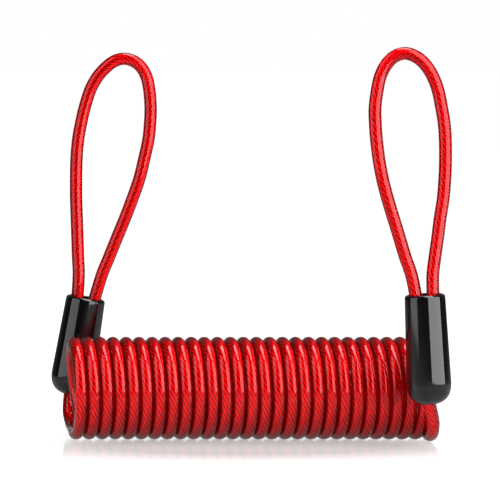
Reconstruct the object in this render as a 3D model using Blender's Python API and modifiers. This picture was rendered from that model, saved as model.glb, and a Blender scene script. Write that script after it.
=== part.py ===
"""A coiled security tether: a jacketed steel cable wound in a close coil, with a crimped loop each end.

It stands as it rests on a table: the coil lies along X on the table at Z 0, and the loops rise along +Z.
The left end stands behind the coil (+Y) and the right end in front of it (-Y).
Lengths are in metres, and the routes in millimetres.
"""

from math import cos, pi, radians, sin

import bmesh
import bpy
from mathutils import Matrix, Vector

MM = 0.001

# Cable: a steel rope in a soft jacket
CABLE_D = 4.3 * MM
ROPE_D = 2.4 * MM
JACKET_BORE_D = 2.7 * MM
TUBE_RESOLUTION = 2

# Coil: full turns between its two end turns' lowest points
COIL_OD = 35.0 * MM
COIL_BORE_D = COIL_OD - 2 * CABLE_D
COIL_PITCH = 4.43 * MM
COIL_TURNS = 27
COIL_X = 1.2 * MM
COIL_SIDES = 24
FACE_GAP = 0.3 * MM
END_X = COIL_PITCH * COIL_TURNS / 2
COIL_LENGTH = 2 * (END_X - CABLE_D / 2 - FACE_GAP)

# Sleeve: a moulded cap with an open mouth at the top and a domed lower end with a hole for the cable
SLEEVE_MOUTH_D = 13.5 * MM
SLEEVE_BASE_D = 15.0 * MM
SLEEVE_WALL = 1.2 * MM
SLEEVE_HOLE_D = 4.9 * MM
SLEEVE_LIP = 0.5 * MM
SLEEVE_Y = 25.6 * MM
# A power of 2 is a round dome, and a higher one is flatter with tighter corners
DOME_POWER = 2.5
DOME_STEPS = 7
ROUND_STEPS = 32

# Lead: the cable between the coil's end turn and the dome
LEAD_END_GAP = 1.3 * MM
LEAD_END_SLOPE = 66.0

# Ferrule: a pressed aluminium oval around both runs of the rope, inside the sleeve
FERRULE_LENGTH = 18.0 * MM
FERRULE_WIDTH = 10.4 * MM
FERRULE_DEPTH = 6.2 * MM
FERRULE_DROP = 6.0 * MM
FERRULE_SIDES = 24
STRAND_SPACING = 5.3 * MM
BORE_CLEARANCE = 0.05 * MM

# Bare rope inside the sleeve: where it ends above the dome's tip, and how far it shows past the ferrule
ROPE_FOOT = 2.0 * MM
ROPE_MARGIN = 1.0 * MM
CUTTER_OVERRUN = 1.2
BORE_SIDES = 16

# Each lead's route in millimetres: (further from the middle of the coil, out from under the coil, up)
LEFT_LEAD = [
    (0.0, -10.0, 5.85), (0.0, -5.3, 3.09), (0.0, 0.0, 2.25), (0.5, 4.7, 2.3), (1.1, 9.4, 2.6),
    (1.8, 13.4, 3.3), (2.5, 17.0, 4.8), (3.1, 19.8, 7.6),
]
RIGHT_LEAD = [
    (0.0, -10.0, 5.85), (0.0, -5.3, 3.09), (0.0, 0.0, 2.25), (0.3, 4.7, 2.3), (0.7, 9.4, 2.6),
    (1.1, 13.4, 3.4), (1.3, 17.0, 5.2), (1.2, 19.8, 8.8),
]

# Each end in millimetres: dome tip and sleeve mouth as (X, Z), then its loop's route as (X, Z)
LEFT_TIP = (-61.6, 12.4)
LEFT_MOUTH = (-55.9, 46.3)
RIGHT_TIP = (60.8, 14.7)
RIGHT_MOUTH = (59.0, 51.5)

LEFT_LOOP = [
    (-58.4, 47.1), (-58.4, 53.5), (-58.6, 60.1), (-58.8, 67.0), (-59.0, 73.8), (-59.2, 80.5),
    (-59.2, 87.7), (-59.0, 94.6), (-58.4, 101.2), (-57.2, 107.6), (-55.8, 113.2), (-54.0, 118.5),
    (-51.6, 122.7), (-48.8, 125.8), (-46.0, 127.9), (-42.7, 128.8), (-39.5, 128.1), (-36.8, 126.1),
    (-34.8, 122.6), (-33.8, 117.9), (-33.4, 112.2), (-33.6, 106.5), (-34.2, 100.8), (-35.6, 94.4),
    (-37.3, 87.5), (-39.7, 80.6), (-42.3, 73.8), (-45.1, 67.0), (-47.9, 60.1), (-50.6, 53.4),
    (-53.4, 47.3),
]
RIGHT_LOOP = [
    (56.5, 51.9), (54.7, 57.3), (52.5, 63.8), (50.5, 70.4), (48.5, 76.9), (46.5, 83.5),
    (44.8, 90.1), (43.6, 96.6), (42.8, 103.0), (42.4, 108.4), (42.3, 113.6), (42.9, 118.6),
    (43.9, 123.5), (45.8, 127.5), (48.6, 130.4), (52.2, 131.5), (55.8, 130.4), (58.9, 127.8),
    (61.5, 123.7), (63.2, 119.1), (64.3, 113.9), (65.2, 108.5), (65.6, 103.3), (65.7, 96.6),
    (65.5, 90.1), (65.0, 83.5), (64.0, 76.9), (63.2, 70.4), (62.3, 63.8), (61.6, 57.3),
    (61.1, 51.9),
]
ROUTE_STEPS = 2

MATERIALS = {
    # name: (colour, metallic, roughness)
    "red_jacket": ((0.72, 0.01, 0.015), 0.0, 0.12),
    "steel_rope": ((0.62, 0.60, 0.58), 1.0, 0.35),
    "ferrule": ((0.72, 0.73, 0.75), 1.0, 0.4),
    "black_sleeve": ((0.012, 0.012, 0.014), 0.0, 0.15),
}


def make_collection(name):
    collection = bpy.data.collections.new(name)
    bpy.context.scene.collection.children.link(collection)
    return collection


def make_material(name):
    color, metallic, roughness = MATERIALS[name]
    material = bpy.data.materials.new(name)
    material.use_nodes = True
    shader = material.node_tree.nodes["Principled BSDF"]
    shader.inputs["Base Color"].default_value = (*color, 1.0)
    shader.inputs["Metallic"].default_value = metallic
    shader.inputs["Roughness"].default_value = roughness
    return material


def add_object(name, data, collection, material=None, parent=None, matrix=None):
    obj = bpy.data.objects.new(name, data)
    collection.objects.link(obj)
    if material:
        data.materials.append(material)
    if parent:
        obj.parent = parent
        obj.matrix_parent_inverse = parent.matrix_basis.inverted()
    if matrix:
        obj.matrix_basis = matrix
    return obj


def through_points(route, steps):
    """A smooth line through the route's points (Catmull-Rom), with this many steps between two of them."""
    line = []
    last = len(route) - 1
    for i in range(last):
        before = route[max(i - 1, 0)]
        here = route[i]
        there = route[i + 1]
        after = route[min(i + 2, last)]
        for step in range(steps):
            t = step / steps
            bend = 2 * before - 5 * here + 4 * there - after
            twist = 3 * here - before - 3 * there + after
            line.append(here + ((there - before) * t + bend * t * t + twist * t ** 3) / 2)
    line.append(route[last])
    return line


def tube_curve(name, points, diameter, capped=True):
    curve = bpy.data.curves.new(name, "CURVE")
    curve.dimensions = "3D"
    curve.bevel_depth = diameter / 2
    curve.bevel_resolution = TUBE_RESOLUTION
    curve.use_fill_caps = capped
    spline = curve.splines.new("POLY")
    spline.points.add(len(points) - 1)
    for spline_point, place in zip(spline.points, points):
        spline_point.co = (*place, 1.0)
    return curve


def cylinder_mesh(name, radius, length, sides):
    bpy.ops.mesh.primitive_cylinder_add(vertices=sides, radius=radius, depth=length)
    obj = bpy.context.active_object
    mesh = obj.data
    mesh.name = name
    bpy.data.objects.remove(obj, do_unlink=True)
    return mesh


def cut(obj, name, mesh, matrix, cutters):
    """Cuts mesh, placed by matrix, out of obj."""
    cutter = add_object(name, mesh, cutters, matrix=matrix)
    cutter.hide_render = True
    cutter.display_type = "WIRE"
    boolean = obj.modifiers.new(name, "BOOLEAN")
    boolean.operation = "DIFFERENCE"
    boolean.solver = "EXACT"
    boolean.object = cutter


def make_coil(collection, cutters, material):
    """The outer shape of the wound cable: a thick tube that rests on a narrow flat facet."""
    corner_radius = COIL_OD / 2 / cos(pi / COIL_SIDES)
    facet_down = Matrix.Rotation(pi / COIL_SIDES, 4, "Z")
    along_x = Matrix.Rotation(pi / 2, 4, "Y")
    lay_down = Matrix.Translation((COIL_X, 0, COIL_OD / 2)) @ along_x @ facet_down
    body = cylinder_mesh("coil", corner_radius, COIL_LENGTH, COIL_SIDES)
    coil = add_object("coil", body, collection, material, matrix=lay_down)
    bore = cylinder_mesh("coil_bore", COIL_BORE_D / 2, CUTTER_OVERRUN * COIL_LENGTH, COIL_SIDES)
    cut(coil, "coil_bore", bore, lay_down, cutters)
    return coil


def make_lead(name, side, lead, dome, collection, material, parent):
    """The cable from the coil's end turn, along the table and up to the dome."""
    route = [Vector((COIL_X - side * (END_X + x * MM), side * y * MM, z * MM)) for x, y, z in lead]
    slope = radians(LEAD_END_SLOPE)
    reach = SLEEVE_BASE_D / 2 + LEAD_END_GAP
    route.append(dome - reach * Vector((0, side * cos(slope), sin(slope))))
    curve = tube_curve(name, through_points(route, ROUTE_STEPS), CABLE_D)
    return add_object(name, curve, collection, material, parent)


def sleeve_profile(length):
    """The wall's outline as (radius, height) above the dome's tip: down the outside, then up the inside."""
    outer = SLEEVE_BASE_D / 2
    inner = outer - SLEEVE_WALL
    hole = SLEEVE_HOLE_D / 2
    mouth = SLEEVE_MOUTH_D / 2
    profile = [(mouth - SLEEVE_WALL, length), (mouth - SLEEVE_LIP / 2, length)]
    profile.append((mouth, length - SLEEVE_LIP))
    for radius, heading in ((outer, 1), (inner, -1)):
        arc = []
        for i in range(DOME_STEPS + 1):
            angle = pi / 2 * (1 - i / DOME_STEPS)
            across = radius * sin(angle) ** (2 / DOME_POWER)
            if across > hole:
                arc.append((across, outer - radius * cos(angle) ** (2 / DOME_POWER)))
        arc.append((hole, outer - (radius ** DOME_POWER - hole ** DOME_POWER) ** (1 / DOME_POWER)))
        profile += arc[::heading]
    return profile


def make_sleeve(name, place, length, collection, material, parent):
    mesh = bpy.data.meshes.new(name)
    profile = sleeve_profile(length)
    vertices = [(radius, 0, height) for radius, height in profile]
    edges = [(i, (i + 1) % len(profile)) for i in range(len(profile))]
    mesh.from_pydata(vertices, edges, [])
    sleeve = add_object(name, mesh, collection, material, parent, place)
    screw = sleeve.modifiers.new("turn", "SCREW")
    screw.steps = ROUND_STEPS
    screw.render_steps = ROUND_STEPS
    screw.use_merge_vertices = True
    screw.merge_threshold = 0.00001
    screw.use_smooth_shade = True
    return sleeve


def make_ferrule(name, place, low, collection, cutters, material, parent):
    """An oval bar with a bore for each run of the rope."""
    outline = bpy.data.curves.new(name, "CURVE")
    outline.dimensions = "2D"
    outline.fill_mode = "BOTH"
    outline.extrude = FERRULE_LENGTH / 2
    spline = outline.splines.new("POLY")
    spline.use_cyclic_u = True
    spline.points.add(FERRULE_SIDES - 1)
    straight = (FERRULE_WIDTH - FERRULE_DEPTH) / 2
    for k, point in enumerate(spline.points):
        angle = 2 * pi * (k + 0.5) / FERRULE_SIDES
        end = straight if cos(angle) > 0 else -straight
        point.co = (FERRULE_DEPTH / 2 * cos(angle) + end, FERRULE_DEPTH / 2 * sin(angle), 0, 1)
    middle = place @ Matrix.Translation((0, 0, low + FERRULE_LENGTH / 2))
    guide = add_object(name + "_outline", outline, cutters, matrix=middle)
    bpy.context.view_layer.update()
    mesh = bpy.data.meshes.new_from_object(guide.evaluated_get(bpy.context.evaluated_depsgraph_get()))
    bpy.data.objects.remove(guide, do_unlink=True)
    weld(mesh)
    ferrule = add_object(name, mesh, collection, material, parent, middle)
    for run in (-1, 1):
        radius = ROPE_D / 2 + BORE_CLEARANCE
        bore = cylinder_mesh(name + "_bore", radius, CUTTER_OVERRUN * FERRULE_LENGTH, BORE_SIDES)
        across = Matrix.Translation((run * STRAND_SPACING / 2, 0, 0))
        cut(ferrule, name + ("_bore_a" if run < 0 else "_bore_b"), bore, middle @ across, cutters)
    return ferrule


def weld(mesh):
    """Joins the caps of a filled curve to its sides."""
    bm = bmesh.new()
    bm.from_mesh(mesh)
    bmesh.ops.remove_doubles(bm, verts=bm.verts, dist=0.000001)
    bm.to_mesh(mesh)
    bm.free()


def make_end(name, side, lead, tip, mouth, loop, anchor, collection, cutters, materials):
    """One end of the tether. anchor is the body that its lead belongs to."""
    y = side * SLEEVE_Y
    tip_at = Vector((tip[0] * MM, y, tip[1] * MM))
    mouth_at = Vector((mouth[0] * MM, y, mouth[1] * MM))
    axis = (mouth_at - tip_at).normalized()
    length = (mouth_at - tip_at).length
    upright = Vector((0, 0, 1)).rotation_difference(axis).to_matrix().to_4x4()
    place = Matrix.Translation(tip_at) @ upright
    dome = tip_at + axis * SLEEVE_BASE_D / 2

    pivot = add_object(name + "_pivot", None, collection, matrix=Matrix.Translation(dome))
    make_lead(name + "_lead", side, lead, dome, collection, materials["red_jacket"], anchor)
    make_sleeve(name + "_sleeve", place, length, collection, materials["black_sleeve"], pivot)
    low = length - FERRULE_DROP - FERRULE_LENGTH
    make_ferrule(name + "_ferrule", place, low, collection, cutters, materials["ferrule"], pivot)

    # The jacket starts above the mouth. The bare rope runs through it and down both bores of the ferrule,
    # and one run goes on down to the dome's hole.
    route = through_points([Vector((x * MM, y, z * MM)) for x, z in loop], ROUTE_STEPS)
    jacket = add_object(
        name + "_loop_jacket", tube_curve(name + "_loop_jacket", route, CABLE_D, capped=False),
        collection, materials["red_jacket"], pivot,
    )
    wall = jacket.modifiers.new("wall", "SOLIDIFY")
    wall.thickness = (CABLE_D - JACKET_BORE_D) / 2
    wall.offset = -1

    half = STRAND_SPACING / 2
    high = low + FERRULE_LENGTH
    down_to_dome = [
        (0, ROPE_FOOT), (-half / 2, low / 2), (-half, low - ROPE_MARGIN), (-half, high + ROPE_MARGIN),
    ]
    down_to_end = [(half, high + ROPE_MARGIN), (half, low + ROPE_MARGIN)]
    rope = [place @ Vector((across, 0, up)) for across, up in down_to_dome]
    rope += route
    rope += [place @ Vector((across, 0, up)) for across, up in down_to_end]
    add_object(
        name + "_loop_rope", tube_curve(name + "_loop_rope", rope, ROPE_D),
        collection, materials["steel_rope"], pivot,
    )


def main():
    for obj in list(bpy.data.objects):
        bpy.data.objects.remove(obj, do_unlink=True)
    collection = make_collection("cable_tether")
    cutters = make_collection("cutters")
    materials = {name: make_material(name) for name in MATERIALS}
    make_coil(collection, cutters, materials["red_jacket"])
    right_end_at = Matrix.Translation((COIL_X + END_X, 0, 0))
    right_turn = add_object("coil_right_end", None, collection, matrix=right_end_at)
    make_end(
        "left", 1, LEFT_LEAD, LEFT_TIP, LEFT_MOUTH, LEFT_LOOP, None,
        collection, cutters, materials,
    )
    make_end(
        "right", -1, RIGHT_LEAD, RIGHT_TIP, RIGHT_MOUTH, RIGHT_LOOP, right_turn,
        collection, cutters, materials,
    )


main()
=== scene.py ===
"""Looks of the coiled cable tether: clear red jacket over twisted steel rope, black moulded sleeves."""

import math

import bpy
import numpy as np
from mathutils import Matrix, Vector


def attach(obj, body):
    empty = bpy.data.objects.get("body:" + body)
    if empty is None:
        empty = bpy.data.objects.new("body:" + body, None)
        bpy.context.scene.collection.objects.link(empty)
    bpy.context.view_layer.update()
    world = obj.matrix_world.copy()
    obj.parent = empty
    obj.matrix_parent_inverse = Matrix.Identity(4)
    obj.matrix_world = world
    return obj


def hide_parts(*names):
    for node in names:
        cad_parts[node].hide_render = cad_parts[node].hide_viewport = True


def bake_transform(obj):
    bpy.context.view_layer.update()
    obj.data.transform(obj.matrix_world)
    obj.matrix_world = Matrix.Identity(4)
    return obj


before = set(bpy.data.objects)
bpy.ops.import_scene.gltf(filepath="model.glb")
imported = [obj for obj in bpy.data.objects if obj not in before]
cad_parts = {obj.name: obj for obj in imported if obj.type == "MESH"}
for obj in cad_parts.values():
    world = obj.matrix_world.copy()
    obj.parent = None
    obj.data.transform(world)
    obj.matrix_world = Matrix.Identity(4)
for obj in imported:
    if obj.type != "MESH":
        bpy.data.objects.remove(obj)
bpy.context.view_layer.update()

MM = 0.001

# Cable
CABLE_D = 4.3 * MM
ROPE_D = 2.8 * MM
ROPE_LAY = 14.0 * MM
STRANDS = 6
STRAND_OVERLAP = 1.02
CABLE_SIDES = 24
STRAND_SIDES = 8
CURVE_STEPS = 16
COIL_STEP = 1.25 * MM
LOOP_STEP = 1.0 * MM

# Coil
COIL_R = 15.35 * MM
COIL_X = 1.2 * MM
COIL_Z = 17.5 * MM
PITCH = 4.43 * MM
TURNS = 27
TURN_STEPS = 24
END_X = PITCH * TURNS / 2
LEAN_FRONT = 3.0 * MM
LEAN_TOP = 1.2 * MM

# The jacket swells where turns press on each other: in full this near to the coil's own line, then less
SWELL = 0.1 * MM
SWELL_NEAR = 0.1 * MM
SWELL_FADE = 0.4 * MM

# Sleeve
MOUTH_D = 13.5 * MM
BASE_D = 15.0 * MM
WALL = 1.2 * MM
DOME_POWER = 2.5
SLEEVE_Y = 25.6 * MM
HOLE_GAP = 0.3 * MM
HOLE_EDGE = 0.15 * MM
HOLE_EDGE_UP = 0.2 * MM
LEG_SPACING = 5.3 * MM
LEG_DEPTHS = (9.0 * MM, 4.0 * MM)
ROUND = 96
SIDE_STEPS = 16
DOME_STEPS = 32

# The mouth's rounded lip, in millimetres: (in from the mouth's radius, down from the mouth)
LIP = [
    (1.2, 0.3), (1.05, 0.08), (0.75, 0.0), (0.62, 0.03),
    (0.5, 0.12), (0.12, 0.5), (0.03, 0.62), (0.0, 0.75),
]

# Each lead's route from the coil's last low point, in millimetres: (away from the coil's middle, out, up)
LEFT_LEAD = [(0.5, 4.7, 2.27), (1.1, 9.4, 2.6), (1.8, 13.4, 3.3), (2.5, 17.0, 4.8), (3.1, 19.8, 7.6)]
RIGHT_LEAD = [(0.3, 4.7, 2.27), (0.7, 9.4, 2.6), (1.1, 13.4, 3.4), (1.3, 17.0, 5.2), (1.2, 19.8, 8.8)]

# Both leads' route up through the dome, in millimetres from its tip: (along X, towards the coil, up)
LEAD_INSIDE = [(0, 1.6, 0.4), (0, 0.6, 3.0), (-0.3, 0, 6.0)]
LEAD_TOP = 11.0 * MM

# Each end in millimetres: dome tip and sleeve mouth as (X, Z), then its loop's route as (X, Z)
LEFT_TIP = (-61.6, 12.4)
LEFT_MOUTH = (-55.9, 46.3)
RIGHT_TIP = (60.8, 14.7)
RIGHT_MOUTH = (59.0, 51.5)

LEFT_LOOP = [
    (-58.4, 47.1), (-58.4, 53.5), (-58.6, 60.1), (-58.8, 67.0), (-59.0, 73.8), (-59.2, 80.5),
    (-59.2, 87.7), (-59.0, 94.6), (-58.4, 101.2), (-57.2, 107.6), (-55.8, 113.2), (-54.0, 118.5),
    (-51.6, 122.7), (-48.8, 125.8), (-46.0, 127.9), (-42.7, 128.8), (-39.5, 128.1), (-36.8, 126.1),
    (-34.8, 122.6), (-33.8, 117.9), (-33.4, 112.2), (-33.6, 106.5), (-34.2, 100.8), (-35.6, 94.4),
    (-37.3, 87.5), (-39.7, 80.6), (-42.3, 73.8), (-45.1, 67.0), (-47.9, 60.1), (-50.6, 53.4),
    (-53.4, 47.3),
]
RIGHT_LOOP = [
    (56.5, 51.9), (54.7, 57.3), (52.5, 63.8), (50.5, 70.4), (48.5, 76.9), (46.5, 83.5),
    (44.8, 90.1), (43.6, 96.6), (42.8, 103.0), (42.4, 108.4), (42.3, 113.6), (42.9, 118.6),
    (43.9, 123.5), (45.8, 127.5), (48.6, 130.4), (52.2, 131.5), (55.8, 130.4), (58.9, 127.8),
    (61.5, 123.7), (63.2, 119.1), (64.3, 113.9), (65.2, 108.5), (65.6, 103.3), (65.7, 96.6),
    (65.5, 90.1), (65.0, 83.5), (64.0, 76.9), (63.2, 70.4), (62.3, 63.8), (61.6, 57.3),
    (61.1, 51.9),
]

# Camera: a nearly level view from the front, through a long lens
CAMERA_DISTANCE = 1.25
CAMERA_ELEVATION = 4.0
VIEW_WIDTH = 0.1695
VIEW_CENTRE = Vector((0.0009, 0, 0.0645))
SENSOR = 36.0

# Room: each light fades in between two values of a direction's Y, where 1 is straight behind the object
ROOM_LIGHT = 0.03
BACKDROP_LIGHT = 0.12
BACKDROP_EDGE = (0.2, 0.8)
PATCH_LIGHT = 0.6
PATCH_EDGE = (0.95, 0.98)

# Light boxes: two upright ones beside the object, as (name, azimuth, width, radiance), and one above it
BOX_DISTANCE = 0.35
BOX_HEIGHT = 0.7
SIDE_BOXES = (("right_box", 53, 0.42, 5.2), ("left_box", -64, 0.31, 2.1))
TOP_BOX_PLACE = (0.12, 0.08, 0.9)
TOP_BOX_TARGET = (0, 0, 0.05)
TOP_BOX_SIZE = (0.7, 0.4)
TOP_BOX_RADIANCE = 7.0

# Table: an oval zone around the object, whose edges are in parts of its half sizes
NEAR_X = 0.08
NEAR_Y = 0.035
NEAR_FRONT = 0.02
NEAR_EDGE = (0.6, 1.5)
BOUNCE_EDGE = (2.0, 5.0)
TABLE_REACH = 6.0
NEAR_GLOW = 0.4
FAR_GLOW = 1.0
BOUNCE_GLOW = 0.25


# ---------------------------------------------------------------- routes

def even_line(points, step):
    """A smooth line through points (Catmull-Rom), cut into pieces of about step."""
    fine = []
    last = len(points) - 1
    for i in range(last):
        before = points[max(i - 1, 0)]
        here = points[i]
        there = points[i + 1]
        after = points[min(i + 2, last)]
        for k in range(CURVE_STEPS):
            t = k / CURVE_STEPS
            bend = 2 * before - 5 * here + 4 * there - after
            twist = 3 * here - before - 3 * there + after
            fine.append(here + ((there - before) * t + bend * t * t + twist * t ** 3) / 2)
    fine.append(points[last])
    line = np.array([list(p) for p in fine])
    lengths = np.linalg.norm(np.diff(line, axis=0), axis=1)
    along = np.concatenate([[0], np.cumsum(lengths)])
    count = max(2, int(round(along[-1] / step)))
    wanted = np.linspace(0, along[-1], count + 1)
    return np.stack([np.interp(wanted, along, line[:, k]) for k in range(3)], axis=1)


def end_axes(tip, mouth, side):
    """A sleeve's frame: origin at the dome's tip, Z along the sleeve to its mouth."""
    tip_at = Vector((tip[0] * MM, side * SLEEVE_Y, tip[1] * MM))
    mouth_at = Vector((mouth[0] * MM, side * SLEEVE_Y, mouth[1] * MM))
    axis = (mouth_at - tip_at).normalized()
    turn = Vector((0, 0, 1)).rotation_difference(axis).to_matrix().to_4x4()
    return Matrix.Translation(tip_at) @ turn, (mouth_at - tip_at).length


def lead_points(side, lead, tip, mouth):
    """From the coil's last low point outwards along the table and up through the dome into the sleeve."""
    place = end_axes(tip, mouth, side)[0]
    points = [Vector((COIL_X - side * (END_X + x * MM), side * y * MM, z * MM)) for x, y, z in lead]
    points += [place @ Vector((x * MM, -side * y * MM, z * MM)) for x, y, z in LEAD_INSIDE]
    points.append(place @ Vector((-0.5 * LEG_SPACING, 0, LEAD_TOP)))
    return points


def helix_points():
    """The coil's turns, which lean along X at the front, the back and the top."""
    points = []
    for i in range(TURNS * TURN_STEPS + 1):
        turn = 2 * math.pi * i / TURN_STEPS
        x = COIL_X - END_X + PITCH * i / TURN_STEPS
        x += LEAN_FRONT * math.sin(turn) - LEAN_TOP * (1 - math.cos(turn))
        points.append(Vector((x, -COIL_R * math.sin(turn), COIL_Z - COIL_R * math.cos(turn))))
    return points


# ---------------------------------------------------------------- meshes

def frames_along(line):
    """Tangent and two side vectors at each point, turned as little as possible from one to the next."""
    ahead = np.vstack([line[1:], line[-1:]])
    behind = np.vstack([line[:1], line[:-1]])
    tangents = ahead - behind
    tangents /= np.linalg.norm(tangents, axis=1)[:, None]
    first = np.array((0.0, 1.0, 0.0))
    side = np.cross(tangents[0], first)
    side /= np.linalg.norm(side)
    sides, others = [], []
    for t in tangents:
        side = side - t * (side @ t)
        side /= np.linalg.norm(side)
        sides.append(side.copy())
        others.append(np.cross(t, side))
    return tangents, np.array(sides), np.array(others)


def ring_mesh(name, rings):
    """Joins rings of points (count, sides, 3) into a closed tube."""
    count, sides = rings.shape[:2]
    verts = rings.reshape(-1, 3)
    i = np.arange(count - 1)[:, None] * sides
    k = np.arange(sides)[None, :]
    n = (k + 1) % sides
    quads = np.stack([i + k, i + n, i + sides + n, i + sides + k], axis=-1).reshape(-1, 4)
    faces = quads.tolist()
    faces.append(list(range(sides))[::-1])
    faces.append([(count - 1) * sides + j for j in range(sides)])
    mesh = bpy.data.meshes.new(name)
    mesh.from_pydata(verts.tolist(), [], faces)
    mesh.validate()
    mesh.shade_smooth()
    obj = bpy.data.objects.new(name, mesh)
    bpy.context.scene.collection.objects.link(obj)
    return obj


def lengths_along(line):
    return np.concatenate([[0], np.cumsum(np.linalg.norm(np.diff(line, axis=0), axis=1))])


def cable_mesh(name, line, diameters):
    """A round tube, with a diameter for each point of the line."""
    _, side, other = frames_along(line)
    angle = 2 * np.pi * np.arange(CABLE_SIDES) / CABLE_SIDES
    circle = side[:, None] * np.cos(angle)[None, :, None] + other[:, None] * np.sin(angle)[None, :, None]
    return ring_mesh(name, line[:, None] + circle * diameters[:, None, None] / 2)


def pressed_diameters(line):
    """The soft jacket's diameter: turns swell a little where they press on each other, front and back."""
    from_axis = np.hypot(line[:, 1], line[:, 2] - COIL_Z)
    in_coil = np.clip(1 - (np.abs(from_axis - COIL_R) - SWELL_NEAR) / SWELL_FADE, 0, 1)
    return CABLE_D + SWELL * in_coil * np.minimum(1, (line[:, 1] / COIL_R) ** 2)


def rope_mesh(name, line, lay):
    """Twisted strands as one lobed bar. lay is the length of one turn, and its sign is the twist's.

    The attribute crest is 1 on top of a strand and 0 in the groove beside it.
    """
    _, side, other = frames_along(line)
    along = lengths_along(line)
    share = math.sin(math.pi / STRANDS)
    strand_r = ROPE_D / 2 * share / (1 + share) * STRAND_OVERLAP
    centre_r = ROPE_D / 2 - strand_r
    angle = 2 * np.pi * np.arange(STRANDS * STRAND_SIDES) / (STRANDS * STRAND_SIDES)
    local = (angle + np.pi / STRANDS) % (2 * np.pi / STRANDS) - np.pi / STRANDS
    outward = np.sqrt(np.maximum(strand_r ** 2 - (centre_r * np.sin(local)) ** 2, 0))
    reach = centre_r * np.cos(local) + outward
    turned = angle[None, :] + 2 * np.pi * along[:, None] / lay
    rings = side[:, None] * np.cos(turned)[:, :, None] + other[:, None] * np.sin(turned)[:, :, None]
    obj = ring_mesh(name, line[:, None] + rings * reach[None, :, None])
    height = (reach - reach.min()) / (reach.max() - reach.min())
    crest = obj.data.attributes.new("crest", "FLOAT", "POINT")
    crest.data.foreach_set("value", np.tile(height, len(line)).astype(np.float32))
    return obj


def turned_mesh(name, profile, place):
    """A closed outline of (radius, height) turned around the sleeve's axis."""
    angle = 2 * np.pi * np.arange(ROUND) / ROUND
    verts = []
    for radius, height in profile:
        for a in angle:
            verts.append(place @ Vector((radius * math.cos(a), radius * math.sin(a), height)))
    faces = []
    count = len(profile)
    for i in range(count):
        j = (i + 1) % count
        for k in range(ROUND):
            n = (k + 1) % ROUND
            faces.append((i * ROUND + k, j * ROUND + k, j * ROUND + n, i * ROUND + n))
    mesh = bpy.data.meshes.new(name)
    mesh.from_pydata([list(v) for v in verts], [], faces)
    mesh.shade_smooth()
    obj = bpy.data.objects.new(name, mesh)
    bpy.context.scene.collection.objects.link(obj)
    return obj


# ---------------------------------------------------------------- materials

def new_material(name):
    material = bpy.data.materials.new(name)
    material.use_nodes = True
    tree = material.node_tree
    return material, tree, tree.nodes["Principled BSDF"]


def noise(tree, scale):
    node = tree.nodes.new("ShaderNodeTexNoise")
    node.inputs["Scale"].default_value = scale
    node.inputs["Detail"].default_value = 3.0
    coords = tree.nodes.new("ShaderNodeTexCoord")
    tree.links.new(coords.outputs["Object"], node.inputs["Vector"])
    return node


def ramp(tree, source, low, high, low_value, high_value):
    node = tree.nodes.new("ShaderNodeMapRange")
    node.inputs["From Min"].default_value = low
    node.inputs["From Max"].default_value = high
    node.inputs["To Min"].default_value = low_value
    node.inputs["To Max"].default_value = high_value
    tree.links.new(source, node.inputs["Value"])
    return node.outputs["Result"]


def bump(tree, shader, height, distance, strength):
    node = tree.nodes.new("ShaderNodeBump")
    node.inputs["Distance"].default_value = distance
    node.inputs["Strength"].default_value = strength
    tree.links.new(height, node.inputs["Height"])
    tree.links.new(node.outputs["Normal"], shader.inputs["Normal"])


def two_colours(tree, source, start, end, shader):
    node = tree.nodes.new("ShaderNodeMix")
    node.data_type = "RGBA"
    node.inputs["A"].default_value = (*start, 1)
    node.inputs["B"].default_value = (*end, 1)
    tree.links.new(source, node.inputs["Factor"])
    tree.links.new(node.outputs["Result"], shader.inputs["Base Color"])


def jacket_material():
    """Clear red, and a darker red towards its outlines: partly the longer path of light through the jacket
    there, partly painted shade for the dark edges and the gaps between turns.
    """
    material, tree, shader = new_material("clear_red_jacket")
    shader.inputs["IOR"].default_value = 1.5
    shader.inputs["Transmission Weight"].default_value = 0.9
    shader.inputs["Specular Tint"].default_value = (1.0, 0.55, 0.55, 1.0)
    edge = tree.nodes.new("ShaderNodeLayerWeight")
    cloud = noise(tree, 260)
    depth = tree.nodes.new("ShaderNodeMath")
    depth.operation = "MULTIPLY_ADD"
    depth.inputs[1].default_value = 0.1
    tree.links.new(cloud.outputs["Fac"], depth.inputs[0])
    # Facing ramp: base colour darker towards the outlines, partly real absorption in the jacket, partly
    # painted shade.
    tree.links.new(ramp(tree, edge.outputs["Facing"], 0.45, 0.85, 0, 1), depth.inputs[2])
    two_colours(tree, depth.outputs["Value"], (0.95, 0.002, 0.004), (0.12, 0.0005, 0.002), shader)
    fine = noise(tree, 1500)
    tree.links.new(ramp(tree, fine.outputs["Fac"], 0.3, 0.7, 0.02, 0.05), shader.inputs["Roughness"])
    bump(tree, shader, cloud.outputs["Fac"], 0.0001, 0.06)
    return material


def rope_material():
    material, tree, shader = new_material("steel_strands")
    shader.inputs["Metallic"].default_value = 1.0
    # Base colour darker in the grooves between strands than on their crests: painted shade in the grooves.
    crest = tree.nodes.new("ShaderNodeAttribute")
    crest.attribute_name = "crest"
    groove_shade = ramp(tree, crest.outputs["Fac"], 0.3, 0.9, 0, 1)
    two_colours(tree, groove_shade, (0.52, 0.50, 0.49), (0.98, 0.97, 0.96), shader)
    fine = noise(tree, 6000)
    tree.links.new(ramp(tree, fine.outputs["Fac"], 0.3, 0.7, 0.2, 0.32), shader.inputs["Roughness"])
    bump(tree, shader, fine.outputs["Fac"], 0.00005, 0.08)
    return material


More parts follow.
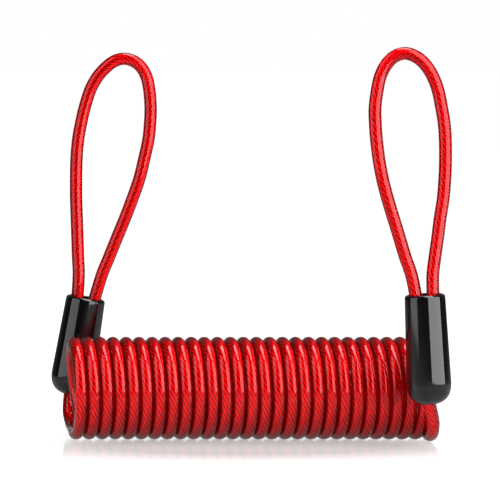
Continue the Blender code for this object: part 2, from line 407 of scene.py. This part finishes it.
def sleeve_material():
    material, tree, shader = new_material("moulded_black_plastic")
    shader.inputs["IOR"].default_value = 1.5
    cloud = noise(tree, 300)
    two_colours(tree, cloud.outputs["Fac"], (0.0015, 0.0015, 0.002), (0.004, 0.0035, 0.004), shader)
    tree.links.new(ramp(tree, cloud.outputs["Fac"], 0.3, 0.7, 0.03, 0.06), shader.inputs["Roughness"])
    fine = noise(tree, 2200)
    bump(tree, shader, fine.outputs["Fac"], 0.00004, 0.2)
    return material


def ferrule_material():
    material, tree, shader = new_material("pressed_aluminium")
    shader.inputs["Metallic"].default_value = 1.0
    cloud = noise(tree, 700)
    two_colours(tree, cloud.outputs["Fac"], (0.55, 0.56, 0.58), (0.75, 0.76, 0.78), shader)
    tree.links.new(ramp(tree, cloud.outputs["Fac"], 0.3, 0.7, 0.3, 0.5), shader.inputs["Roughness"])
    bump(tree, shader, cloud.outputs["Fac"], 0.00008, 0.4)
    return material


def floor_material():
    """White, and a mirror near the object. It glows more to the camera than to the object."""
    material, tree, shader = new_material("white_table")
    cloud = noise(tree, 12)
    two_colours(tree, cloud.outputs["Fac"], (0.25, 0.25, 0.25), (0.29, 0.29, 0.29), shader)
    tree.links.new(ramp(tree, cloud.outputs["Fac"], 0.3, 0.7, 0.05, 0.07), shader.inputs["Roughness"])
    coords = tree.nodes.new("ShaderNodeTexCoord")
    scaled = tree.nodes.new("ShaderNodeMapping")
    scaled.inputs["Scale"].default_value = (1 / NEAR_X, 1 / NEAR_Y, 0)
    scaled.inputs["Location"].default_value = (0, NEAR_FRONT / NEAR_Y, 0)
    tree.links.new(coords.outputs["Object"], scaled.inputs["Vector"])
    away = tree.nodes.new("ShaderNodeVectorMath")
    away.operation = "LENGTH"
    tree.links.new(scaled.outputs["Vector"], away.inputs[0])
    gloss = ramp(tree, away.outputs["Value"], *NEAR_EDGE, 0.5, 0.0)
    tree.links.new(gloss, shader.inputs["Specular IOR Level"])
    glow = ramp(tree, away.outputs["Value"], *NEAR_EDGE, NEAR_GLOW, FAR_GLOW)
    bounce = ramp(tree, away.outputs["Value"], *BOUNCE_EDGE, BOUNCE_GLOW, 0.0)
    rays = tree.nodes.new("ShaderNodeLightPath")
    choose = tree.nodes.new("ShaderNodeMix")
    tree.links.new(bounce, choose.inputs["A"])
    tree.links.new(rays.outputs["Is Camera Ray"], choose.inputs["Factor"])
    tree.links.new(glow, choose.inputs["B"])
    tree.links.new(choose.outputs["Result"], shader.inputs["Emission Strength"])
    shader.inputs["Emission Color"].default_value = (1, 1, 1, 1)
    return material


# ---------------------------------------------------------------- camera, light and table

def make_camera():
    camera = bpy.data.cameras.new("camera")
    camera.sensor_width = SENSOR
    camera.lens = SENSOR * CAMERA_DISTANCE / VIEW_WIDTH
    obj = bpy.data.objects.new("camera", camera)
    bpy.context.scene.collection.objects.link(obj)
    tilt = math.radians(CAMERA_ELEVATION)
    back = Vector((0, -math.cos(tilt), math.sin(tilt)))
    obj.location = VIEW_CENTRE + back * CAMERA_DISTANCE
    obj.rotation_mode = "QUATERNION"
    obj.rotation_quaternion = (-back).to_track_quat("-Z", "Y")
    camera.clip_start = 0.01
    camera.clip_end = 20
    bpy.context.scene.camera = obj


def area_light(name, place, target, width, height, radiance):
    light = bpy.data.lights.new(name, "AREA")
    light.shape = "RECTANGLE"
    light.size = width
    light.size_y = height
    light.energy = radiance * math.pi * width * height
    obj = bpy.data.objects.new(name, light)
    bpy.context.scene.collection.objects.link(obj)
    obj.location = place
    obj.rotation_mode = "QUATERNION"
    obj.rotation_quaternion = (Vector(target) - Vector(place)).to_track_quat("-Z", "Y")
    obj.visible_camera = False


def studio_world():
    """White to the camera. The object mirrors and refracts a dim room with a brighter backdrop behind."""
    world = bpy.data.worlds.new("studio")
    world.use_nodes = True
    tree = world.node_tree
    shader = tree.nodes["Background"]
    shader.inputs["Color"].default_value = (1, 1, 1, 1)
    direction = tree.nodes.new("ShaderNodeTexCoord")
    parts = tree.nodes.new("ShaderNodeSeparateXYZ")
    tree.links.new(direction.outputs["Generated"], parts.inputs["Vector"])
    room = ramp(tree, parts.outputs["Y"], *BACKDROP_EDGE, ROOM_LIGHT, BACKDROP_LIGHT)
    patch = ramp(tree, parts.outputs["Y"], *PATCH_EDGE, 0, PATCH_LIGHT - BACKDROP_LIGHT)
    total = tree.nodes.new("ShaderNodeMath")
    tree.links.new(room, total.inputs[0])
    tree.links.new(patch, total.inputs[1])
    rays = tree.nodes.new("ShaderNodeLightPath")
    choose = tree.nodes.new("ShaderNodeMix")
    choose.inputs["B"].default_value = 1.0
    tree.links.new(rays.outputs["Is Camera Ray"], choose.inputs["Factor"])
    tree.links.new(total.outputs["Value"], choose.inputs["A"])
    tree.links.new(choose.outputs["Result"], shader.inputs["Strength"])
    bpy.context.scene.world = world


def beside(azimuth, distance):
    """A place on the table at that azimuth from the object: 0 is towards the camera, 90 to its right."""
    angle = math.radians(azimuth)
    return Vector((math.sin(angle), -math.cos(angle), 0)) * distance


def make_stage():
    studio_world()
    mesh = bpy.data.meshes.new("table")
    far = TABLE_REACH
    corners = [(-far, -far, 0), (far, -far, 0), (far, far, 0), (-far, far, 0)]
    mesh.from_pydata(corners, [], [(0, 1, 2, 3)])
    table = bpy.data.objects.new("table", mesh)
    bpy.context.scene.collection.objects.link(table)
    mesh.materials.append(floor_material())
    middle = Vector((0, 0, BOX_HEIGHT / 2))
    for name, azimuth, width, radiance in SIDE_BOXES:
        area_light(name, beside(azimuth, BOX_DISTANCE) + middle, middle, width, BOX_HEIGHT, radiance)
    area_light("top_box", TOP_BOX_PLACE, TOP_BOX_TARGET, *TOP_BOX_SIZE, TOP_BOX_RADIANCE)


# ---------------------------------------------------------------- pieces

def paint(obj, material):
    obj.data.materials.clear()
    obj.data.materials.append(material)


def make_coil(jacket, steel):
    left = lead_points(1, LEFT_LEAD, LEFT_TIP, LEFT_MOUTH)[::-1]
    right = lead_points(-1, RIGHT_LEAD, RIGHT_TIP, RIGHT_MOUTH)
    line = even_line(left + helix_points() + right, COIL_STEP)
    cable = cable_mesh("coil_cable", line, pressed_diameters(line))
    rope = rope_mesh("coil_rope", line, -ROPE_LAY)
    paint(cable, jacket)
    paint(rope, steel)
    for obj, sides in ((cable, CABLE_SIDES), (rope, STRANDS * STRAND_SIDES)):
        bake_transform(obj)
    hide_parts("coil", "left_lead", "right_lead")


def make_loop(name, side, lay, loop, place, length, jacket, steel):
    """The loop's jacket and rope, both running on into the sleeve to the ferrule."""
    y = side * SLEEVE_Y
    half = LEG_SPACING / 2
    points = [place @ Vector((-half, 0, length - depth)) for depth in LEG_DEPTHS]
    points += [Vector((x * MM, y, z * MM)) for x, z in loop[1:-1]]
    points += [place @ Vector((half, 0, length - depth)) for depth in reversed(LEG_DEPTHS)]
    line = even_line(points, LOOP_STEP)
    cable = cable_mesh(name + "_loop_cable", line, np.full(len(line), CABLE_D))
    rope = rope_mesh(name + "_loop_strands", line, lay)
    paint(cable, jacket)
    paint(rope, steel)
    for obj in (cable, rope):
        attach(obj, name + "_end")
    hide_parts(name + "_loop_jacket")
    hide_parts(name + "_loop_rope")


def sleeve_profile(length):
    """A closed outline of (radius, height): lip, outer side, dome, hole, and the inside back to the lip."""
    outer = BASE_D / 2
    inner = outer - WALL
    mouth = MOUTH_D / 2
    hole = CABLE_D / 2 + HOLE_GAP
    power = DOME_POWER
    lip = [(mouth - inward * MM, length - depth * MM) for inward, depth in LIP]
    side = []
    for i in range(1, SIDE_STEPS):
        t = i / SIDE_STEPS
        side.append((mouth + (outer - mouth) * t, length - (length - outer) * t))
    down, up = [], []
    for i in range(DOME_STEPS + 1):
        angle = math.pi / 2 * (1 - i / DOME_STEPS)
        across = math.sin(angle) ** (2 / power)
        height = math.cos(angle) ** (2 / power)
        if outer * across > hole + 2 * HOLE_EDGE:
            down.append((outer * across, outer - outer * height))
        if inner * across > hole + 2 * HOLE_EDGE:
            up.append((inner * across, outer - inner * height))
    low = outer - (outer ** power - hole ** power) ** (1 / power)
    high = outer - (inner ** power - hole ** power) ** (1 / power)
    rim = [(hole + HOLE_EDGE, low), (hole, low + HOLE_EDGE_UP), (hole, high)]
    return lip + side + down + rim + up[::-1]


def make_sleeve(name, place, length, plastic):
    sleeve = turned_mesh(name + "_sleeve_shell", sleeve_profile(length), place)
    paint(sleeve, plastic)
    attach(sleeve, name + "_end")
    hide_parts(name + "_sleeve")


def main():
    bpy.context.scene.view_settings.view_transform = "Standard"
    make_camera()
    make_stage()
    jacket = jacket_material()
    steel = rope_material()
    plastic = sleeve_material()
    pressed = ferrule_material()
    make_coil(jacket, steel)
    for name, side, lay, tip, mouth, loop in (
        ("left", 1, ROPE_LAY, LEFT_TIP, LEFT_MOUTH, LEFT_LOOP),
        ("right", -1, -ROPE_LAY, RIGHT_TIP, RIGHT_MOUTH, RIGHT_LOOP),
    ):
        place, length = end_axes(tip, mouth, side)
        make_loop(name, side, lay, loop, place, length, jacket, steel)
        make_sleeve(name, place, length, plastic)
        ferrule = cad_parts[name + "_ferrule"]
        ferrule.data.materials.clear()
        ferrule.data.materials.append(pressed)


main()
